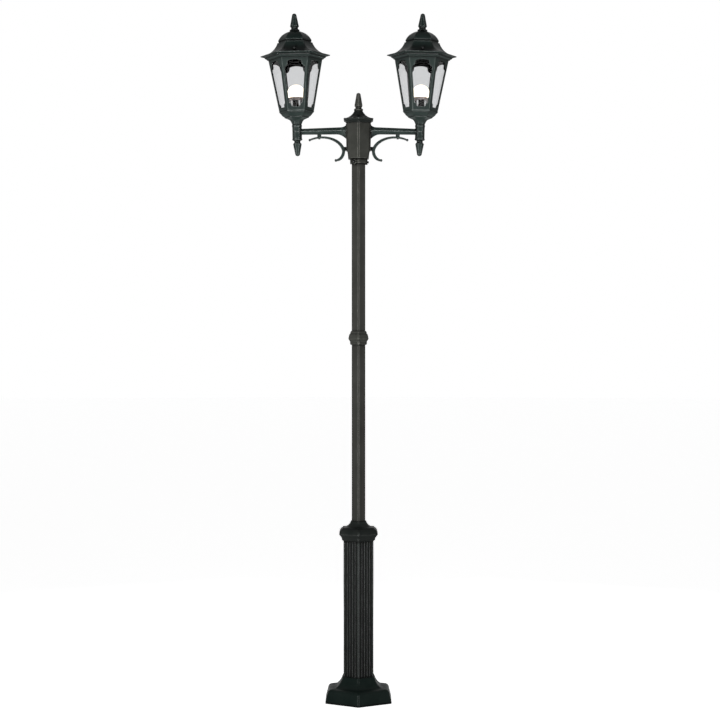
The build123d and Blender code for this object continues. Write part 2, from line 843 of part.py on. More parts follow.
def window_face():
    """Window with an arched crown, stepped shoulders and small steps at the sill."""
    sill_step = 13.0
    spring = window_crown - 5.0
    shoulder = window_crown - window_shoulder_drop
    points = [
        (face_half(window_sill) - window_margin - 8.0, window_sill, 0),
        (face_half(window_sill) - window_margin - 7.4, window_sill + 3.5, -2.4),
        (face_half(window_sill + sill_step) - window_margin, window_sill + sill_step, 0),
        (face_half(shoulder) - window_margin, shoulder, -3.4),
        (window_crown_half + 0.8, spring - 5.5, 0),
        (window_crown_half, spring, 0),
    ]
    right = [(half, up, bulge) for half, up, bulge in points]
    edges = []
    for (half_a, up_a, bulge), (half_b, up_b, _) in zip(right, right[1:]):
        for side in (1, -1):
            start, end = (side * half_a, up_a), (side * half_b, up_b)
            edges.append(SagittaArc(start, end, -side * bulge) if bulge else Line(start, end))
    sill_half, crown_half = right[0][0], right[-1][0]
    edges.append(Line((-sill_half, window_sill), (sill_half, window_sill)))
    edges.append(ThreePointArc((-crown_half, spring), (0, window_crown), (crown_half, spring)))
    return make_face(edges)


def cage():
    """Tapered six-sided frame with a window in every face."""
    low, high = lantern_z, cage_top_z
    wall = cage_wall / math.cos(cage_slope)
    body = frustum(cage_bottom_half, low, cage_top_half, high, cage_corner_flat, turn=30)
    cornice = [
        (cage_top_half - 0.2, high, 0),
        (cage_top_half + 3.4, high + 0.8, 0),
        (cage_top_half + 4.0, high + 2.2, -0.6),
        (cornice_half - 0.6, rim_z - 1.6, 0),
        (cornice_half, rim_z, 0),
    ]
    body += moulded(cornice, corner_flat=cage_corner_flat, turn=30)
    room_low = low + cage_floor
    room_low_half = cage_bottom_half - wall + cage_floor * math.tan(cage_slope)
    body -= frustum(room_low_half, room_low, cage_top_half - wall, high, turn=30)
    body -= hex_bar(cage_top_half - wall, high, rim_z - 4, turn=30)
    upstand = hex_bar(upstand_half, rim_z - 4, rim_z + upstand_height, turn=30)
    body += upstand
    body -= hex_bar(upstand_half - upstand_wall, rim_z - 5, rim_z + upstand_height, turn=30)
    body -= round_bar(floor_opening_radius, low, room_low)
    body -= cage_screw_bars(cage_screw_radius + thread_clearance, low, room_low)
    window = window_face()
    for step in range(6):
        body -= extrude(face_place(step) * Pos(0, 0, 4) * window, -16)
    return body


def panes():
    """Six flat panes standing behind the windows."""
    low, high = 5.0, cage_height - 3.0
    depth = cage_wall + seat_gap
    inset = (depth + glass_thickness) / math.sqrt(3) + 0.8
    points = [(-face_half(low) + inset, low), (face_half(low) - inset, low)]
    points += [(face_half(high) - inset, high), (-face_half(high) + inset, high)]
    pane = make_face(Polyline(*points, close=True))
    solids = []
    for step in range(6):
        solids += extrude(face_place(step) * Pos(0, 0, -depth) * pane, -glass_thickness).solids()
    return Compound(solids)


def pane_clips():
    """Bent clips that hold neighbouring panes in each corner of the cage."""
    depth = (cage_wall + glass_thickness + 2 * seat_gap) / math.cos(cage_slope)
    low, high = lantern_z + 158, lantern_z + 168
    clip_thickness = 1.2
    rise = math.tan(cage_slope)
    outer = [cage_bottom_half + (z - lantern_z) * rise - depth for z in (low, high)]
    ring = frustum(outer[0], low, outer[1], high, turn=30)
    ring -= frustum(outer[0] - clip_thickness, low, outer[1] - clip_thickness, high, turn=30)
    corner = outer[1] * corner_ratio
    clips = []
    for step in range(6):
        window = Rot(0, 0, 60 * step) * box_between((corner - 9, -9, low), (corner + 2, 9, high))
        clips += (ring & window).solids()
    return Compound(clips)


def cage_screws():
    """Screws that fasten the cage to the bowl."""
    top = lantern_z + cage_floor + seat_gap
    return cage_screw_bars(cage_screw_radius, lantern_z - 6, top) + cage_screw_bars(3.5, top, top + 2.6)


def roof_gasket():
    """Flat seal between the cage and the roof."""
    ring = hex_bar(cornice_half - 0.8, rim_z, roof_z, turn=30)
    return ring - hex_bar(cornice_half - 8, rim_z, roof_z, turn=30)


def roof_skirt():
    """Sweeping lower roof with a thin eave and the bosses of its clamping screws."""
    low, top = roof_z, skirt_top_z
    points = [
        (cornice_half, low, 0),
        (eave_half - 0.6, low + 3.9, 0),
        (eave_half, low + 4.6, 0),
        (eave_half, low + 6.4, -9.3),
        (skirt_top_half, low + 48.2, 0),
        (skirt_top_half, low + 50.2, 0),
        (dome_half - 0.8, low + 52.4, 0),
        (dome_half - 0.8, top, 0),
    ]
    body = moulded(points, corner_flat=2.0, turn=30)
    room = [
        (eave_half - 20, low, 0),
        (eave_half - 20, low + 9.2, -5.1),
        (skirt_top_half - skirt_wall, low + 46.5, 0),
        (skirt_top_half - skirt_wall - 1, top - 7, 0),
    ]
    body -= moulded(room, turn=30)
    for angle in roof_screw_angles:
        body += radial_bar(5.2, roof_boss_half - 12, roof_boss_half, roof_screw_z, angle)
        hole_radius = roof_screw_radius + thread_clearance
        body -= radial_bar(hole_radius, roof_boss_half - 16, roof_boss_half, roof_screw_z, angle)
    return body - round_bar(stud_radius + running_clearance, top - 8, top)


roof_screw_angles = (30, 150, 270)
roof_screw_z = roof_z + roof_screw_rise
roof_boss_half = 80.2


def roof_screws():
    """Clamping screws whose tips bear on the upstand of the cage."""
    tip = upstand_half + slide_clearance
    seat = roof_boss_half + seat_gap
    solids = []
    for angle in roof_screw_angles:
        screw = radial_bar(roof_screw_radius, tip, seat, roof_screw_z, angle)
        head_end = seat + roof_screw_head_length
        screw += radial_bar(roof_screw_head_radius, seat, head_end, roof_screw_z, angle)
        solids += screw.solids()
    return Compound(solids)


def roof_dome():
    """Domed upper roof with a bead at its lip."""
    low, top = skirt_top_z + seat_gap, dome_top_z
    points = [
        (dome_half - 0.4, low, 0),
        (dome_half + 0.7, low + 3, 0),
        (dome_half, low + 6, 5.2),
        (finial_half + 1.9, top, 0),
    ]
    body = moulded(points, corner_flat=2.0, turn=30)
    room = [
        (dome_half - dome_wall, low, 0),
        (dome_half - dome_wall, low + 6, 4.8),
        (finial_half - 3, top - dome_wall - 0.8, 0),
    ]
    body -= moulded(room, turn=30)
    return body - round_bar(stud_radius + running_clearance, low, top)


def roof_finial():
    """Spear on the roof, with the stud that ties dome and skirt together."""
    low = dome_top_z + seat_gap
    return moulded(finial_outline(low), corner_flat=2.8, turn=30) + round_bar(stud_radius, skirt_top_z - 10, low)


# Lamp and holder

def lamp_holder():
    """Ceramic lamp holder on the nipple."""
    body = round_bar(holder_radius, holder_z, holder_top_z)
    body -= round_bar(nipple_radius + running_clearance, holder_z, holder_z + 8)
    body -= round_bar(lead_radius + 1.0, holder_z + 8, holder_z + shell_seat)
    return body - round_bar(shell_radius + shell_wall + seat_gap, holder_z + shell_seat, holder_top_z)


def holder_shell():
    """Brass screw shell with its centre contact."""
    low = holder_z + shell_seat + seat_gap
    high = holder_top_z - 2.5
    shell = round_bar(shell_radius + shell_wall, low, high) - round_bar(shell_radius, low + 1.4, high)
    return shell + round_bar(4.5, low, lamp_neck_z - lamp_cap_length - 1.4)


def lamp_cap():
    """Brass screw cap of the lamp, with its contact."""
    low = lamp_neck_z - lamp_cap_length
    return round_bar(lamp_cap_radius, low, lamp_neck_z) + round_bar(5.0, low - 1.0, low)


def lamp_body():
    """Straight-sided metal body of the lamp, slightly wider at the dome."""
    rim_radius = math.sqrt(lamp_dome_radius**2 - (lamp_dome_height - lamp_dome_radius) ** 2)
    low, high = lamp_neck_z, lamp_rim_z
    profile = [
        Line((0, low), (lamp_neck_radius, low)),
        Line((lamp_neck_radius, low), (lamp_neck_radius + 0.6, low + 4)),
        SagittaArc((lamp_neck_radius + 0.6, low + 4), (rim_radius - 2.2, high - 3.5), 0.5),
        Line((rim_radius - 2.2, high - 3.5), (rim_radius - 2.0, high)),
        Line((rim_radius - 2.0, high), (0, high)),
        Line((0, high), (0, low)),
    ]
    return revolve(Plane.XZ * make_face(profile), Axis.Z)


def lamp_dome():
    """Frosted dome of the lamp."""
    centre = lamp_rim_z + seat_gap + lamp_dome_height - lamp_dome_radius
    dome = Pos(0, 0, centre) * (Sphere(lamp_dome_radius) - Sphere(lamp_dome_radius - lamp_dome_wall))
    keep = round_bar(2 * lamp_dome_radius, lamp_rim_z + seat_gap, centre + 2 * lamp_dome_radius)
    return dome & keep


def lead():
    """Two-core lead from the terminal block through the arm, up the nipple into the holder."""
    bend = 6 * lead_radius
    start = block_half_length + 0.6
    run = Line((start, arm_z), (reach - bend, arm_z))
    turn = RadiusArc((reach - bend, arm_z), (reach, arm_z + bend), -bend)
    if (turn @ 0.5).Y > arm_z + bend / 2:
        turn = RadiusArc((reach - bend, arm_z), (reach, arm_z + bend), bend)
    rise = Line((reach, arm_z + bend), (reach, holder_z + shell_seat - 0.5))
    path = Plane.XZ * (run + turn + rise)
    section = Plane(origin=(start, 0, arm_z), x_dir=(0, 1, 0), z_dir=(1, 0, 0)) * Circle(lead_radius)
    return sweep(section, path=path)


def main():
    os.makedirs("parts", exist_ok=True)
    write("ground_plate", ground_plate())
    write("ground_socket", ground_socket())
    write("foot_screws", *foot_screws())
    write("base_casting", base_casting())
    write("fluted_column", fluted_column())
    write("column_cap", column_cap())
    write("lower_post", lower_post())
    write("post_joint", post_joint())
    write("joint_spigot", joint_spigot())
    write("upper_post", upper_post())
    write("head_collar", head_collar())
    for name, angle in set_screw_angles.items():
        write("set_screw_" + name, set_screw(angle))
    write("head_body", head_body())
    write("head_cap", head_cap())
    write("head_finial", head_finial())
    write("cap_rod", cap_rod())
    write("terminal_block", terminal_block())
    write("terminal_bracket", terminal_bracket())
    write("earth_screw", earth_screw())
    write_pair("arm", droop_turn * arm())
    write_pair("scroll", droop_turn * scroll())
    write_pair("lamp_lead", droop_turn * lead())
    write("scroll_screws", *both_sides(droop_turn * scroll_screws()))
    write("arm_nuts", *both_sides(droop_turn * arm_nut()))
    for name, piece in {
        "pendant": pendant,
        "lantern_bowl": bowl,
        "lantern_cage": cage,
        "window_panes": panes,
        "roof_skirt": roof_skirt,
        "roof_screws": roof_screws,
        "roof_dome": roof_dome,
        "roof_finial": roof_finial,
        "lamp_holder": lamp_holder,
        "holder_shell": holder_shell,
        "lamp_cap": lamp_cap,
        "lamp_body": lamp_body,
        "lamp_dome": lamp_dome,
    }.items():
        write_pair(name, lantern_place * piece())
    for name, piece in {
        "nipples": nipple,
        "nipple_nuts": nipple_nut,
        "cage_screws": cage_screws,
        "pane_clips": pane_clips,
        "roof_gaskets": roof_gasket,
    }.items():
        write(name, *both_sides(lantern_place * piece()))


main()
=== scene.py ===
# %% [markdown]
# # A garden lamp post with two lanterns
#
# The real thing is a tall post of cast and drawn aluminium, coated satin black.
# Two six-sided lanterns stand on short arms near the top, each with clear panes and a lit lamp.
# Its castings come in from the measured model, so this lesson is about what makes them look real:
# softened edges, a coat of paint that isn't quite even, clear glass, and the lamp inside.

# %% Load the measured model
import math
import bmesh
import bpy
from mathutils import Matrix, Vector


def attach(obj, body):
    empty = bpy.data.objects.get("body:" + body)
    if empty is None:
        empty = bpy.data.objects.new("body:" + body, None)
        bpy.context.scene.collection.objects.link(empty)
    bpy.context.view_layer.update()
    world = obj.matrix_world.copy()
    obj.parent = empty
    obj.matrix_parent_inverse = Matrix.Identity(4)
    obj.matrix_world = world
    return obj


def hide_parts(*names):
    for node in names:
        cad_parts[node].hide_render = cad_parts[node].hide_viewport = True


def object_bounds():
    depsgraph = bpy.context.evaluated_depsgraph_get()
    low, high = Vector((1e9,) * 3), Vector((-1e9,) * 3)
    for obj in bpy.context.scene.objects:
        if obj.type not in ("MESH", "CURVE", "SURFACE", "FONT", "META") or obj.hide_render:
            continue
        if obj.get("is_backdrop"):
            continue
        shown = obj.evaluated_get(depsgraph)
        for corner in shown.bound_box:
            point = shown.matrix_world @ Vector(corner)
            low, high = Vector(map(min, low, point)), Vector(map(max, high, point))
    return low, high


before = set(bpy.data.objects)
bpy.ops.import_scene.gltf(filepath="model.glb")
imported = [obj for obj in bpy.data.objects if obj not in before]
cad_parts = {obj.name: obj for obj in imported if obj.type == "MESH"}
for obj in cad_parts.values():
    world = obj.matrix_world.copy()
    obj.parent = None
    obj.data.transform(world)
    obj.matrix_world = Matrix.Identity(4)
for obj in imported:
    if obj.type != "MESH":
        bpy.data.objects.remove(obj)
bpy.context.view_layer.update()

# %% [markdown]
# ## The camera
#
# The foot shows a little of its top and the roofs show their undersides, so the eye is
# between them, about 1.3 m up. A long lens from 6 m keeps the upright lines nearly parallel, and
# tilting the camera down by less than a degree centres the post in the frame.

# %% Set up the camera
camera_data = bpy.data.cameras.new("camera")
camera_data.lens = 85.95
camera_data.sensor_width = 36.0
camera_data.clip_end = 60.0
camera = bpy.data.objects.new("camera", camera_data)
camera.location = (0.0052, -6.0, 1.27)
camera.rotation_euler = (math.radians(90 - 0.773), 0, 0)
bpy.context.scene.collection.objects.link(camera)
bpy.context.scene.camera = camera
bpy.context.scene.view_settings.view_transform = "Standard"
print("camera height", camera.location.z, "m")

# %% [markdown]
# ## The studio
#
# The post was photographed against white. The world is seen as plain white by the camera, by
# glass and by shiny metal, but gives the paint a softer level of light, which falls off
# overhead: the roofs are the darkest parts of the picture. Two soft lamps in front point up at
# the lanterns, so the light fades towards the foot. The left one is stronger, so each ridge in
# front divides a lighter side from a darker one. Two more behind light the back in the same way.
# Mirrored rays can't see those, so they leave no glints along the outline.

# %% Make the world
world = bpy.data.worlds.new("studio")
bpy.context.scene.world = world
world.use_nodes = True
world_nodes, world_links = world.node_tree.nodes, world.node_tree.links
backdrop = world_nodes["Background"]
backdrop.inputs["Color"].default_value = (1, 1, 1, 1)
room = world_nodes.new("ShaderNodeBackground")
room.inputs["Color"].default_value = (0.97, 0.985, 1.0, 1)
heading = world_nodes.new("ShaderNodeSeparateXYZ")
world_links.new(world_nodes.new("ShaderNodeTexCoord").outputs["Generated"], heading.inputs[0])
overhead = world_nodes.new("ShaderNodeMapRange")
overhead.inputs["From Min"].default_value, overhead.inputs["From Max"].default_value = -0.1, 0.6
overhead.inputs["To Min"].default_value, overhead.inputs["To Max"].default_value = 0.10, 0.03
world_links.new(heading.outputs["Z"], overhead.inputs["Value"])
world_links.new(overhead.outputs["Result"], room.inputs["Strength"])


def seen_directly(nodes, links):
    """A socket that is 1 for rays from the camera, from shiny metal and through glass."""
    path = nodes.new("ShaderNodeLightPath")
    either = nodes.new("ShaderNodeMath")
    either.operation = "MAXIMUM"
    links.new(path.outputs["Is Camera Ray"], either.inputs[0])
    links.new(path.outputs["Is Glossy Ray"], either.inputs[1])
    all_three = nodes.new("ShaderNodeMath")
    all_three.operation = "MAXIMUM"
    links.new(either.outputs[0], all_three.inputs[0])
    links.new(path.outputs["Is Transmission Ray"], all_three.inputs[1])
    return all_three.outputs[0]


choice = world_nodes.new("ShaderNodeMixShader")
world_links.new(seen_directly(world_nodes, world_links), choice.inputs[0])
world_links.new(room.outputs[0], choice.inputs[1])
world_links.new(backdrop.outputs[0], choice.inputs[2])
world_links.new(choice.outputs[0], world_nodes["World Output"].inputs["Surface"])


# %% Hang the lamps
def soft_lamp(name, place, aim, size, power):
    """Rectangular area lamp with a honeycomb grid, which faces a point."""
    light = bpy.data.lights.new(name, "AREA")
    light.shape = "RECTANGLE"
    light.size, light.size_y = size
    light.energy = power
    light.spread = math.radians(95)
    lamp = bpy.data.objects.new(name, light)
    lamp.location = place
    lamp.rotation_euler = (Vector(aim) - Vector(place)).to_track_quat("-Z", "Y").to_euler()
    bpy.context.scene.collection.objects.link(lamp)
    return lamp


soft_lamp("left_lamp", (-1.4, -3.3, 0.5), (0, 0, 2.2), (1.2, 0.7), 74)
soft_lamp("right_lamp", (1.4, -3.3, 0.5), (0, 0, 2.2), (0.8, 0.7), 28)
for back_lamp in (
    soft_lamp("back_left_lamp", (-1.4, 3.3, 0.5), (0, 0, 1.9), (1.2, 0.7), 30),
    soft_lamp("back_right_lamp", (1.4, 3.3, 0.5), (0, 0, 1.9), (1.2, 0.7), 66),
):
    back_lamp.visible_glossy = False
print("four soft lamps")

# %% [markdown]
# ## The floor
#
# The floor is a wide pale disc. Where the camera sees it directly it glows just enough to join
# the white background, and the rest of its brightness is ordinary light, so the foot keeps a
# faint shadow.


# %% Make a material with a helper
def start_material(name):
    """A new node material and its shader."""
    material = bpy.data.materials.new(name)
    material.use_nodes = True
    return material, material.node_tree.nodes, material.node_tree.links


def lay_floor():
    """Pale floor under the foot."""
    material, nodes, links = start_material("floor_paper")
    plain = nodes["Principled BSDF"]
    plain.inputs["Base Color"].default_value = (0.82, 0.82, 0.82, 1)
    plain.inputs["Roughness"].default_value = 0.9
    plain.inputs["Specular IOR Level"].default_value = 0.1
    glow = nodes.new("ShaderNodeEmission")
    glow.inputs["Strength"].default_value = 0.92
    lit = nodes.new("ShaderNodeAddShader")
    links.new(plain.outputs[0], lit.inputs[0])
    links.new(glow.outputs[0], lit.inputs[1])
    pick = nodes.new("ShaderNodeMixShader")
    links.new(seen_directly(nodes, links), pick.inputs[0])
    links.new(plain.outputs[0], pick.inputs[1])
    links.new(lit.outputs[0], pick.inputs[2])
    links.new(pick.outputs[0], nodes["Material Output"].inputs["Surface"])
    bm = bmesh.new()
    bmesh.ops.create_circle(bm, cap_ends=True, segments=96, radius=30.0)
    mesh = bpy.data.meshes.new("floor")
    bm.to_mesh(mesh)
    bm.free()
    mesh.materials.append(material)
    floor = bpy.data.objects.new("floor", mesh)
    bpy.context.scene.collection.objects.link(floor)
    floor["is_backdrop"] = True


lay_floor()

# %% [markdown]
# ## Black coated castings
#
# Sand-cast aluminium under baked powder paint is never quite flat. Three things show up close: a
# fine orange-peel skin about a millimetre across, slow waves left by the mould, and patches where
# the paint is a little glossier. All of it is noise on object coordinates, so that it has real
# sizes.
#
# The Bevel node looks about three millimetres around each point: where its answer differs from the
# true surface there is an edge. Edges that turn to the front or the back, as ridges and rims do,
# get a painted highlight, a paler line broken up by noise, and those that turn sideways a darker
# line of painted shade. Ambient Occlusion tells edges from corners, so that corners and grooves get
# painted shade. With a longer reach it paints shade inside a lantern too.


# %% Mix the black coat
def noise(nodes, links, coordinates, scale, detail=2.0, roughness=0.5):
    """Noise with a feature size of about one over the scale, in metres."""
    texture = nodes.new("ShaderNodeTexNoise")
    texture.inputs["Scale"].default_value = scale
    texture.inputs["Detail"].default_value = detail
    texture.inputs["Roughness"].default_value = roughness
    links.new(coordinates, texture.inputs["Vector"])
    return texture.outputs["Fac"]


def spread(nodes, links, value, low, high, to_low, to_high):
    """Map a value's range to another."""
    node = nodes.new("ShaderNodeMapRange")
    node.inputs["From Min"].default_value, node.inputs["From Max"].default_value = low, high
    node.inputs["To Min"].default_value, node.inputs["To Max"].default_value = to_low, to_high
    links.new(value, node.inputs["Value"])
    return node.outputs["Result"]


def times(nodes, links, first, second):
    """Product of two sockets, or of a socket and a number."""
    node = nodes.new("ShaderNodeMath")
    node.operation = "MULTIPLY"
    links.new(first, node.inputs[0])
    if isinstance(second, float):
        node.inputs[1].default_value = second
    else:
        links.new(second, node.inputs[1])
    return node.outputs[0]


def mixed_colour(nodes, links, factor, first, second):
    """Two colours, or a colour socket and a colour, blended by a factor."""
    node = nodes.new("ShaderNodeMix")
    node.data_type = "RGBA"
    links.new(factor, node.inputs["Factor"])
    for socket, colour in (("A", first), ("B", second)):
        target = [s for s in node.inputs if s.name == socket and s.type == "RGBA"][0]
        if isinstance(colour, tuple):
            target.default_value = (*colour, 1)
        else:
            links.new(colour, target)
    return [s for s in node.outputs if s.type == "RGBA"][0]


def bumped(nodes, links, height, distance, strength, below=None):
    """Bump of a height socket, on top of another normal."""
    node = nodes.new("ShaderNodeBump")
    node.inputs["Distance"].default_value = distance
    node.inputs["Strength"].default_value = strength
    links.new(height, node.inputs["Height"])
    if below is not None:
        links.new(below, node.inputs["Normal"])
    return node.outputs["Normal"]


# %% Find the edges and the corners
def edges_and_corners(nodes, links, edge_radius, corner_reach, corner_range):
    """Two masks, 1 on outward edges and 1 in corners and grooves, and the rounded normal."""
    rounded = nodes.new("ShaderNodeBevel")
    rounded.samples = 6
    rounded.inputs["Radius"].default_value = edge_radius
    flat = nodes.new("ShaderNodeNewGeometry")
    alike = nodes.new("ShaderNodeVectorMath")
    alike.operation = "DOT_PRODUCT"
    links.new(rounded.outputs[0], alike.inputs[0])
    links.new(flat.outputs["Normal"], alike.inputs[1])
    any_edge = spread(nodes, links, alike.outputs["Value"], 0.995, 0.95, 0.0, 1.0)
    open_sky = nodes.new("ShaderNodeAmbientOcclusion")
    open_sky.samples = 6
    open_sky.inputs["Distance"].default_value = corner_reach
    outward = spread(nodes, links, open_sky.outputs["AO"], 0.62, 0.9, 0.0, 1.0)
    corner = spread(nodes, links, open_sky.outputs["AO"], *corner_range, 0.0, 1.0)
    return times(nodes, links, any_edge, outward), corner, rounded.outputs[0]


# %% Put the coat together
def black_coat(
    name, deep, worn, edge, gloss, peel, waves,
    corner_reach=0.014, corner_range=(0.95, 0.65), hollow=0.0,
):
    """Powder paint: two close blacks, painted highlight and shade on edges, painted shade in
    corners, uneven gloss, orange peel.
    """
    material, nodes, links = start_material(name)
    shader = nodes["Principled BSDF"]
    place = nodes.new("ShaderNodeTexCoord").outputs["Object"]
    patches = spread(nodes, links, noise(nodes, links, place, 14.0, 4.0, 0.6), 0.35, 0.7, 0, 1)
    colour = mixed_colour(nodes, links, patches, deep, worn)
    outward, corner, rounded = edges_and_corners(nodes, links, 0.0032, corner_reach, corner_range)
    # Noise that breaks up the painted edge highlight.
    highlight_breakup = spread(nodes, links, noise(nodes, links, place, 120.0, 3.0, 0.6), 0.3, 0.65, 0.45, 1.0)
    # Edges whose rounded normal faces front or back get the painted highlight, a paler line.
    turned_away = nodes.new("ShaderNodeSeparateXYZ")
    links.new(rounded, turned_away.inputs[0])
    facing = times(nodes, links, turned_away.outputs["Y"], turned_away.outputs["Y"])
    lit = spread(nodes, links, facing, 0.55, 0.85, 0.0, 1.0)
    # Painted shade: a darker line on every outward edge; those facing front or back are painted
    # paler next.
    painted_edge_shade = times(nodes, links, outward, 0.75)
    colour = mixed_colour(nodes, links, painted_edge_shade, colour, (0.002, 0.002, 0.002))
    # Painted highlight: a paler line on outward edges that face front or back.
    painted_edge_highlight = times(nodes, links, times(nodes, links, outward, highlight_breakup), lit)
    colour = mixed_colour(nodes, links, painted_edge_highlight, colour, edge)
    # Painted shade: corners and grooves darkened by Ambient Occlusion.
    painted_corner_shade = times(nodes, links, corner, 0.95)
    colour = mixed_colour(nodes, links, painted_corner_shade, colour, (0.0012, 0.0012, 0.0012))
    # Painted shade: a longer Ambient Occlusion darkens the inside of a lantern.
    if hollow:
        indoors = nodes.new("ShaderNodeAmbientOcclusion")
        indoors.samples = 6
        indoors.inputs["Distance"].default_value = hollow
        painted_inner_shade = spread(nodes, links, indoors.outputs["AO"], 0.62, 0.42, 0.0, 1.0)
        colour = mixed_colour(nodes, links, painted_inner_shade, colour, (0.0006, 0.0006, 0.0006))
    links.new(colour, shader.inputs["Base Color"])
    gloss_patches = noise(nodes, links, place, 38.0, 3.0, 0.55)
    links.new(spread(nodes, links, gloss_patches, 0.3, 0.7, *gloss), shader.inputs["Roughness"])
    shader.inputs["Specular IOR Level"].default_value = 0.03
    wave = bumped(nodes, links, noise(nodes, links, place, 55.0, 2.0), 0.0006, waves, rounded)
    skin = bumped(nodes, links, noise(nodes, links, place, 950.0, 2.0), 0.0002, peel, wave)
    links.new(skin, shader.inputs["Normal"])
    return material


fine_corners = (0.98, 0.72)
lantern_black = black_coat(
    "lantern_black", (0.0105, 0.0155, 0.0142), (0.0190, 0.0255, 0.0235), (0.150, 0.165, 0.160),
    (0.30, 0.44), 0.5, 0.5, corner_range=fine_corners, hollow=0.12,
)
# A darker copy of the lantern coat, for painted shade on the roofs, which face up into less light.
roof_black_painted_shade = black_coat(
    "roof_black_painted_shade", (0.0050, 0.0085, 0.0076), (0.0105, 0.0150, 0.0138), (0.130, 0.145, 0.140),
    (0.30, 0.44), 0.5, 0.5, corner_range=fine_corners, hollow=0.12,
)
cast_black = black_coat(
    "cast_black", (0.018, 0.0185, 0.0164), (0.030, 0.0305, 0.0272), (0.160, 0.160, 0.145),
    (0.32, 0.46), 0.4, 0.4, corner_range=fine_corners,
)
# A much darker copy of the black, for painted shade on the foot, where the light falls off near the
# ground.
foot_black_painted_shade = black_coat(
    "foot_black_painted_shade", (0.0042, 0.0078, 0.0068), (0.0085, 0.0130, 0.0115), (0.110, 0.125, 0.120),
    (0.38, 0.54), 0.45, 0.4,
)
column_black = black_coat(
    "column_black", (0.014, 0.0165, 0.0155), (0.020, 0.0225, 0.0212), (0.135, 0.145, 0.140),
    (0.38, 0.5), 0.35, 0.2, corner_reach=0.010, corner_range=(1.0, 0.94),
)
# A darker copy of the post's coat, for painted shade on the two caps, whose tops face up.
lid_black_painted_shade = black_coat(
    "lid_black_painted_shade", (0.0072, 0.0088, 0.0081), (0.0125, 0.0142, 0.0132), (0.110, 0.115, 0.110),
    (0.38, 0.5), 0.35, 0.3, corner_range=fine_corners,
)
tube_black = black_coat(
    "tube_black", (0.018, 0.018, 0.0162), (0.026, 0.026, 0.0235), (0.140, 0.140, 0.128),
    (0.34, 0.44), 0.3, 0.05,
)
print("7 coats of black")

# %% [markdown]
# ## Screws, plated steel and brass
#
# The screws are blackened steel, shinier than the paint. The ground plate, the rod and the nuts
# are zinc plated: pale, slightly blotchy and half rough. The lamp's cap and its shell are plain
# brass.


# %% Mix the metals
def metal(name, pale, dull, gloss, blotch, scratch):
    """Bare or plated metal with blotches and fine turning marks."""
    material, nodes, links = start_material(name)
    shader = nodes["Principled BSDF"]
    shader.inputs["Metallic"].default_value = 1.0
    place = nodes.new("ShaderNodeTexCoord").outputs["Object"]
    patches = spread(nodes, links, noise(nodes, links, place, blotch, 5.0, 0.65), 0.3, 0.7, 0, 1)
    links.new(mixed_colour(nodes, links, patches, pale, dull), shader.inputs["Base Color"])
    links.new(spread(nodes, links, patches, 0, 1, *gloss), shader.inputs["Roughness"])
    stretched = nodes.new("ShaderNodeMapping")
    stretched.inputs["Scale"].default_value = (1.0, 1.0, 12.0)
    links.new(place, stretched.inputs["Vector"])
    marks = noise(nodes, links, stretched.outputs[0], 240.0, 2.0)
    links.new(bumped(nodes, links, marks, 0.0001, scratch), shader.inputs["Normal"])
    return material


screw_black = metal(
    "screw_black", (0.050, 0.050, 0.051), (0.036, 0.036, 0.038), (0.10, 0.18), 300.0, 0.08
)
zinc_plate = metal(
    "zinc_plate", (0.66, 0.67, 0.68), (0.50, 0.51, 0.53), (0.28, 0.48), 90.0, 0.25
)
plain_brass = metal(
    "plain_brass", (0.80, 0.62, 0.30), (0.66, 0.50, 0.24), (0.22, 0.36), 120.0, 0.2
)
print("metals:", screw_black.name, zinc_plate.name, plain_brass.name)

# %% [markdown]
# ## Glass
#
# Each pane is 3 mm clear float glass. Clear glass still takes a little light, more through the
# iron in it than at its surface, so the white behind two panes comes out pale grey. An index below
# that of real glass keeps the mirror images in it faint. It is never perfectly clean: faint smears
# change its roughness, which only shows where something bright is mirrored.


# %% Mix the glass
def window_glass():
    """Clear float glass with faint smears."""
    material, nodes, links = start_material("window_glass")
    shader = nodes["Principled BSDF"]
    shader.inputs["Transmission Weight"].default_value = 1.0
    shader.inputs["IOR"].default_value = 1.16
    shader.inputs["Base Color"].default_value = (0.790, 0.795, 0.80, 1)
    place = nodes.new("ShaderNodeTexCoord").outputs["Object"]
    smears = noise(nodes, links, place, 30.0, 5.0, 0.7)
    links.new(spread(nodes, links, smears, 0.45, 0.8, 0.0, 0.03), shader.inputs["Roughness"])
    return material


pane_glass = window_glass()
print("glass:", pane_glass.name)

# %% [markdown]
# ## Porcelain, rubber and plastic
#
# These hide inside: the lamp holder's glazed porcelain, the seal under each roof, the connector
# strip and the leads. They are seen when a roof or a lid comes off, so they get real finishes too.
# The lamp's grey rim and its near-black body are plastics as well.


# %% Mix the quiet materials
def plain_material(name, first, second, gloss, size, depth, coat=0.0):
    """Non-metal with slow colour changes and a fine grain."""
    material, nodes, links = start_material(name)
    shader = nodes["Principled BSDF"]
    place = nodes.new("ShaderNodeTexCoord").outputs["Object"]
    patches = spread(nodes, links, noise(nodes, links, place, size, 4.0, 0.6), 0.3, 0.7, 0, 1)
    links.new(mixed_colour(nodes, links, patches, first, second), shader.inputs["Base Color"])
    links.new(spread(nodes, links, patches, 0, 1, *gloss), shader.inputs["Roughness"])
    shader.inputs["Coat Weight"].default_value = coat
    grain = noise(nodes, links, place, size * 12, 2.0)
    links.new(bumped(nodes, links, grain, 0.0001, depth), shader.inputs["Normal"])
    return material


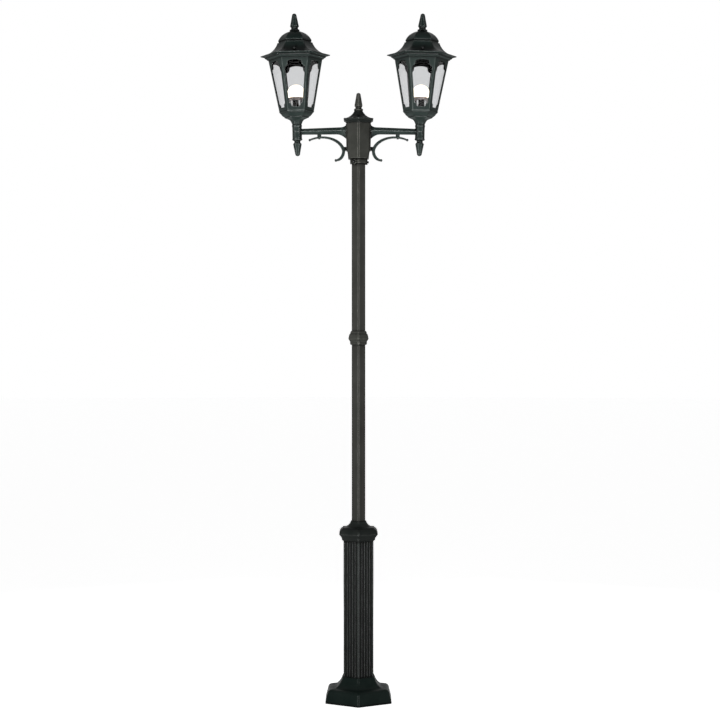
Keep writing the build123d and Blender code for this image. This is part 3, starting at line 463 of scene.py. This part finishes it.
porcelain = plain_material(
    "porcelain", (0.80, 0.79, 0.74), (0.74, 0.72, 0.66), (0.12, 0.22), 60.0, 0.1, coat=0.6
)
seal_rubber = plain_material(
    "seal_rubber", (0.015, 0.015, 0.015), (0.03, 0.03, 0.03), (0.7, 0.85), 120.0, 0.5
)
lead_sheath = plain_material(
    "lead_sheath", (0.72, 0.72, 0.69), (0.66, 0.66, 0.62), (0.45, 0.6), 90.0, 0.3
)
block_nylon = plain_material(
    "block_nylon", (0.80, 0.78, 0.70), (0.74, 0.72, 0.62), (0.35, 0.5), 70.0, 0.2
)
lamp_rim = plain_material(
    "lamp_rim", (0.30, 0.250, 0.238), (0.25, 0.215, 0.205), (0.20, 0.30), 60.0, 0.03, coat=0.3
)
lamp_shell = plain_material(
    "lamp_shell", (0.012, 0.012, 0.011), (0.018, 0.018, 0.016), (0.12, 0.20), 60.0, 0.03
)
print("porcelain, rubber, sheath, nylon, lamp rim and lamp shell")


# %% Mix the lit dome
def lit_dome():
    """Opal plastic with the lamp on behind it."""
    material, nodes, links = start_material("lit_dome")
    shader = nodes["Principled BSDF"]
    shader.inputs["Roughness"].default_value = 0.35
    place = nodes.new("ShaderNodeTexCoord").outputs["Object"]
    patches = spread(nodes, links, noise(nodes, links, place, 40.0, 3.0), 0.3, 0.7, 0, 1)
    opal = mixed_colour(nodes, links, patches, (0.93, 0.92, 0.88), (0.90, 0.89, 0.85))
    links.new(opal, shader.inputs["Base Color"])
    shader.inputs["Emission Color"].default_value = (1.0, 0.86, 0.68, 1)
    shader.inputs["Emission Strength"].default_value = 1.8
    return material


opal_dome = lit_dome()
print("dome:", opal_dome.name)

# %% [markdown]
# ## Painting the pieces
#
# Every casting takes a black coat, and each hidden piece its own finish. A piece that a lantern
# or an arm has is there twice, with left or right at the end of its name.

# %% Give each piece its finish
finish_of = {
    cast_black: ["post_joint", "head_collar", "head_body", "head_finial"],
    column_black: ["fluted_column"],
    lid_black_painted_shade: ["column_cap", "head_cap"],
    lantern_black: ["arm", "scroll", "pendant", "lantern_bowl", "lantern_cage"],
    roof_black_painted_shade: ["roof_skirt", "roof_dome", "roof_finial"],
    foot_black_painted_shade: ["base_casting"],
    tube_black: ["lower_post", "upper_post"],
    screw_black: [
        "set_screw_right", "set_screw_rear", "set_screw_front", "scroll_screws", "cage_screws",
        "pane_clips", "roof_screws",
    ],
    zinc_plate: [
        "ground_plate", "ground_socket", "joint_spigot", "cap_rod", "terminal_bracket",
        "arm_nuts", "nipples", "nipple_nuts", "foot_screws",
    ],
    plain_brass: ["earth_screw", "holder_shell", "lamp_cap"],
    pane_glass: ["window_panes"],
    porcelain: ["lamp_holder"],
    seal_rubber: ["roof_gaskets"],
    lead_sheath: ["lamp_lead"],
    block_nylon: ["terminal_block"],
    lamp_shell: ["lamp_body"],
    opal_dome: ["lamp_dome"],
}


def named(stem):
    """The pieces with this name, alone or as a left and right pair."""
    names = [stem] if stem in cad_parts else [stem + "_left", stem + "_right"]
    return [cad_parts[name] for name in names]


painted = 0
for material, stems in finish_of.items():
    for stem in stems:
        for piece in named(stem):
            piece.data.materials.clear()
            piece.data.materials.append(material)
            painted += 1
print("painted", painted, "of", len(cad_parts))

# %% [markdown]
# ## The places of the lanterns
#
# The arms leave the head square to its sloping sides, so each lantern leans out by the same small
# angle. Round pieces are easiest to shape upright on the Z axis. One transform then carries them
# out to the end of the right arm, and a mirror of it serves the left one.

# %% Work out where a lantern hangs
reach = 0.214
arm_z = 1.889 + 0.0989
waist_half, waist_z, waist_height = 0.0392, 1.918, 0.029
top_half, head_height = 0.0415, 0.124
pad_thickness = 0.0028
side_slope = (top_half - waist_half) / (head_height - waist_height)
droop = math.atan(side_slope)
root_x = waist_half + side_slope * (arm_z - waist_z) + pad_thickness / math.cos(droop)
root = Vector((root_x, 0, arm_z))
hub_top_z = arm_z + 0.0252
holder_top_z = hub_top_z + 0.061
neck_z = holder_top_z + 0.0005
lamp_rim_z = neck_z + 0.0335
mirror_left = Matrix.Scale(-1, 4, (1, 0, 0))
carry = Matrix.Translation(root) @ Matrix.Rotation(droop, 4, "Y") @ Matrix.Translation(-root)
hang = {"right": carry @ Matrix.Translation((reach, 0, 0))}
hang["left"] = mirror_left @ hang["right"]
print("each lantern leans", round(math.degrees(droop), 2), "degrees")


# %% Finish a new piece
def finished(bm, name, material, body, replaced=(), place=None, smooth_angle=35.0):
    """Clean mesh from a bmesh, in place, with a finish, on its body."""
    if place is not None:
        bmesh.ops.transform(bm, matrix=place, verts=bm.verts)
    bmesh.ops.remove_doubles(bm, verts=bm.verts, dist=1e-6)
    bmesh.ops.recalc_face_normals(bm, faces=bm.faces)
    mesh = bpy.data.meshes.new(name)
    bm.to_mesh(mesh)
    bm.free()
    mesh.polygons.foreach_set("use_smooth", [True] * len(mesh.polygons))
    mesh.set_sharp_from_angle(angle=math.radians(smooth_angle))
    mesh.materials.append(material)
    piece = bpy.data.objects.new(name, mesh)
    bpy.context.scene.collection.objects.link(piece)
    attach(piece, body)
    if replaced:
        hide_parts(*replaced)
    return piece


def turned(profile, steps=72):
    """Round shape turned on the Z axis from a profile of radius and height."""
    bm = bmesh.new()
    verts = [bm.verts.new((radius, 0, z)) for radius, z in profile]
    edges = [bm.edges.new(pair) for pair in zip(verts, verts[1:])]
    bmesh.ops.spin(
        bm, geom=verts + edges, cent=(0, 0, 0), axis=(0, 0, 1), angle=2 * math.pi,
        steps=steps, use_merge=True,
    )
    return bm


def arc(centre, radius, start, end, count):
    """Points on an arc in a profile; angles in degrees, from the outward direction."""
    points = []
    for step in range(count + 1):
        angle = math.radians(start + (end - start) * step / count)
        outward = max(0.0, centre[0] + radius * math.cos(angle))
        points.append((outward, centre[1] + radius * math.sin(angle)))
    return points


def merged(shapes):
    """One bmesh from several."""
    bm = bmesh.new()
    for shape in shapes:
        part = bpy.data.meshes.new("part")
        shape.to_mesh(part)
        shape.free()
        bm.from_mesh(part)
        bpy.data.meshes.remove(part)
    return bm


# %% [markdown]
# ## The lamps
#
# Each lamp is a household one: an opal dome, a grey rim under it, a nearly black body with five
# polished ribs, and a brass screw cap. Everything but the ribs is round, so a profile spun once
# round the axis gives it. The dome gets a real wall, and the screw cap a rolled thread.

# %% Turn the domes
dome_radius, dome_wall, dome_height = 0.030, 0.0015, 0.044
dome_low = lamp_rim_z + 0.00005
dome_centre = dome_low + dome_height - dome_radius
inner_radius = dome_radius - dome_wall
rim_angle = -math.degrees(math.asin((dome_centre - dome_low) / dome_radius))
inner_angle = -math.degrees(math.asin((dome_centre - dome_low) / inner_radius))
outside = arc((0, dome_centre), dome_radius, 90, rim_angle, 30)
inside = arc((0, dome_centre), inner_radius, inner_angle, 90, 30)
for side, place in hang.items():
    finished(
        turned(outside + inside), "opal_dome_" + side, opal_dome, "lamp_" + side,
        ["lamp_dome_" + side], place,
    )
print("dome", round(2000 * dome_radius), "mm wide")

# %% Turn the bodies
waist = lamp_rim_z - 0.0120
core = [
    (0, neck_z), (0.0195, neck_z), (0.0203, neck_z + 0.0008), (0.0206, neck_z + 0.003),
    (0.0208, waist), (0, waist),
]
rim = [
    (0, waist), (0.0226, waist), (0.0232, waist + 0.0006), (0.0243, lamp_rim_z - 0.006),
    (0.0243, lamp_rim_z - 0.0012), (0.0237, lamp_rim_z - 0.0004), (0.0227, lamp_rim_z),
    (0, lamp_rim_z),
]
for side, place in hang.items():
    body = "lamp_" + side
    finished(
        turned(core), "lamp_core_" + side, lamp_shell, body, ["lamp_body_" + side],
        place,
    )
    finished(turned(rim), "lamp_rim_" + side, lamp_rim, body, (), place)
print("body", round(1000 * (lamp_rim_z - neck_z), 1), "mm high")

# %% [markdown]
# Five ribs stand on the body. One rib is a small block with its edges rounded by a bevel, turned
# into place five times; polished aluminium makes them the bright strips in the picture.

# %% Stand the ribs on the bodies
bright_aluminium = metal(
    "bright_aluminium", (0.93, 0.93, 0.92), (0.86, 0.86, 0.86), (0.16, 0.28), 140.0, 0.1
)


def rounded_block(low, high, edge):
    """Block between two corners with rounded edges."""
    bm = bmesh.new()
    made = bmesh.ops.create_cube(bm, size=1.0)["verts"]
    bmesh.ops.scale(bm, vec=Vector(high) - Vector(low), verts=made)
    bmesh.ops.translate(bm, vec=(Vector(high) + Vector(low)) / 2, verts=made)
    bmesh.ops.bevel(
        bm, geom=made + list(bm.edges), offset=edge, affect="EDGES", segments=3, profile=0.5,
        material=-1, clamp_overlap=True,
    )
    return bm


rib_count = 5
rib_low = (0.0198, -0.0034, neck_z + 0.0014)
rib_high = (0.0232, 0.0034, lamp_rim_z - 0.0121)
for side, place in hang.items():
    ribs = []
    for step in range(rib_count):
        rib = rounded_block(rib_low, rib_high, 0.0008)
        turn = Matrix.Rotation(math.radians(360 / rib_count * step - 48), 3, "Z")
        bmesh.ops.rotate(rib, cent=(0, 0, 0), matrix=turn, verts=rib.verts)
        ribs.append(rib)
    finished(
        merged(ribs), "lamp_ribs_" + side, bright_aluminium, "lamp_" + side, (),
        place,
    )
print(rib_count, "ribs on each lamp")

# %% Turn the screw caps
thread_turns, thread_pitch = 5, 0.0036
cap_low = neck_z - 0.024
thread = [
    (0, cap_low - 0.001), (0.005, cap_low - 0.001), (0.005, cap_low), (0.0105, cap_low),
    (0.0122, cap_low + 0.002),
]
for turn in range(thread_turns):
    thread += arc((0.0120, cap_low + 0.0042 + turn * thread_pitch), 0.0012, -80, 80, 6)
thread += [(0.0118, neck_z - 0.0016), (0.0125, neck_z - 0.0012), (0.0125, neck_z), (0, neck_z)]
for side, place in hang.items():
    finished(
        turned(thread), "screw_cap_" + side, plain_brass, "lamp_" + side,
        ["lamp_cap_" + side], place,
    )
print("screw caps with", thread_turns, "threads")

# %% [markdown]
# ## Screw heads
#
# Three screws clamp each roof and three more clamp the collar under the head. A button head is a
# low dome, so it catches one small highlight, with a hexagonal socket pressed into it. The screw
# grows from one round face: each step pushes the face up or widens it, and the last one pushes a
# hexagon back down.


# %% Raise and widen a face
def raised(bm, face, height):
    """Push a face up on new walls; gives the new face and its corners."""
    made = bmesh.ops.extrude_face_region(bm, geom=[face])["geom"]
    verts = [v for v in made if isinstance(v, bmesh.types.BMVert)]
    bmesh.ops.translate(bm, vec=(0, 0, height), verts=verts)
    bmesh.ops.delete(bm, geom=[face], context="FACES_ONLY")
    return [f for f in made if isinstance(f, bmesh.types.BMFace)][0], verts


def widened(bm, verts, ratio):
    """Scale a level ring about its middle."""
    middle = sum((v.co for v in verts), Vector()) / len(verts)
    bmesh.ops.scale(bm, vec=(ratio, ratio, 1), space=Matrix.Translation(-middle), verts=verts)


# %% Shape a screw with a socket
def socket_screw(tip, seat, head_radius, head_length, shank_radius, socket_half):
    """Screw on the X axis with its tip inwards and a domed socket head outwards."""
    bm = bmesh.new()
    ring = bmesh.ops.create_circle(bm, cap_ends=True, segments=24, radius=shank_radius)["verts"]
    bmesh.ops.translate(bm, vec=(0, 0, tip), verts=ring)
    face = ring[0].link_faces[0]
    bmesh.ops.duplicate(bm, geom=[face])
    face, verts = raised(bm, face, seat - tip)
    face, verts = raised(bm, face, 0.0)
    widened(bm, verts, head_radius * 0.94 / shank_radius)
    face, verts = raised(bm, face, head_length * 0.12)
    widened(bm, verts, 1 / 0.94)
    for share, ratio in ((0.45, 0.985), (0.25, 0.90), (0.18, 0.78)):
        face, verts = raised(bm, face, head_length * share)
        widened(bm, verts, ratio)
    face, verts = raised(bm, face, 0.0)
    for vert in verts:
        across = Vector((vert.co.x, vert.co.y))
        sector = (math.atan2(across.y, across.x) + math.pi / 6) % (math.pi / 3) - math.pi / 6
        across *= socket_half / math.cos(sector) / across.length
        vert.co.x, vert.co.y = across
    raised(bm, face, -head_length * 0.55)
    outwards = Matrix.Rotation(math.pi / 2, 3, "Y")
    bmesh.ops.rotate(bm, cent=(0, 0, 0), matrix=outwards, verts=bm.verts)
    return bm


# %% Set the screws in the roofs and the collar
bowl_height, cage_height, cornice_height, seal_thickness = 0.0458, 0.178, 0.008, 0.0015
roof_low_z = hub_top_z + bowl_height + cage_height + cornice_height + seal_thickness
roof_screw_z = roof_low_z + 0.0195
collar_screw_z = 1.878


def turned_out(height, angle):
    """Where a screw on the X axis goes: up to a height, and round by an angle."""
    return Matrix.Translation((0, 0, height)) @ Matrix.Rotation(math.radians(angle), 4, "Z")


for side, place in hang.items():
    screws = []
    for angle in (30, 150, 270):
        screw = socket_screw(0.0633, 0.08025, 0.0036, 0.0028, 0.0020, 0.0012)
        bmesh.ops.transform(screw, matrix=turned_out(roof_screw_z, angle), verts=screw.verts)
        screws.append(screw)
    finished(
        merged(screws), "roof_clamps_" + side, screw_black, "roof_" + side,
        ["roof_screws_" + side], place,
    )
for corner, angle in (("right", 0), ("rear", 120), ("front", 240)):
    screw = socket_screw(0.02355, 0.0316, 0.0042, 0.0045, 0.0030, 0.0016)
    finished(
        screw, "collar_clamp_" + corner, screw_black, "clamp_screw_" + corner,
        ["set_screw_" + corner], turned_out(collar_screw_z, angle),
    )
print("9 clamping screws")

# %% [markdown]
# ## Inside the head and under the foot
#
# The connector strip has a brass screw in each of its three wells, and the socket is welded to
# the ground plate. A weld is a rope of frozen ripples: a tube along the seam, made fatter and
# thinner at a regular pitch.

# %% Drive the connector screws
well_floor_z = arm_z + 0.004 - 0.003
screws = []
for across in (-0.006, 0.0, 0.006):
    head = bmesh.new()
    bmesh.ops.create_cone(
        head, cap_ends=True, segments=24, radius1=0.0018, radius2=0.0016, depth=0.0016
    )
    bmesh.ops.translate(head, vec=(0, across, well_floor_z + 0.0009), verts=head.verts)
    screws.append(head)
finished(merged(screws), "connector_screws", plain_brass, "post")
print("3 connector screws")


# %% Run the weld round the socket
def weld_bead(half, low, radius, ripples):
    """Rippled tube round the foot of a hexagonal socket."""
    bm = bmesh.new()
    reach_out = half * 2 / math.sqrt(3)
    corners = []
    for step in range(6):
        angle = math.radians(30 + 60 * step)
        corners.append(Vector((reach_out * math.cos(angle), reach_out * math.sin(angle), low)))
    line = []
    for first, second in zip(corners, corners[1:] + corners[:1]):
        line += [first.lerp(second, share / ripples) for share in range(ripples)]
    rings = []
    for index, point in enumerate(line):
        ahead = line[(index + 1) % len(line)] - line[index - 1]
        across = ahead.cross(Vector((0, 0, 1))).normalized()
        swell = radius * (1.0 if index % 2 else 0.86)
        ring = bmesh.ops.create_circle(bm, cap_ends=False, segments=8, radius=swell)["verts"]
        turn = Matrix((across, Vector((0, 0, 1)), ahead.normalized())).transposed().to_4x4()
        bmesh.ops.transform(bm, matrix=Matrix.Translation(point) @ turn, verts=ring)
        rings.append([e for e in bm.edges if e.verts[0] in ring and e.verts[1] in ring])
    for index, ring in enumerate(rings):
        bmesh.ops.bridge_loops(bm, edges=ring + rings[(index + 1) % len(rings)])
    return bm


side_ripples = 16
weld = weld_bead(0.0288, 0.0086, 0.0026, side_ripples)
finished(weld, "socket_weld", zinc_plate, "post")
print("weld of", 6 * side_ripples, "ripples")

# %% [markdown]
# ## The size of the dressed post
#
# The box round the dressed post is worked out, and its width and height printed. The
# dressed post has to stay inside the measured one.

# %% Work out and print the size
dressed_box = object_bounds()
dressed_size = dressed_box[1] - dressed_box[0]
print("width", round(dressed_size.x, 4), "height", round(dressed_size.z, 4))
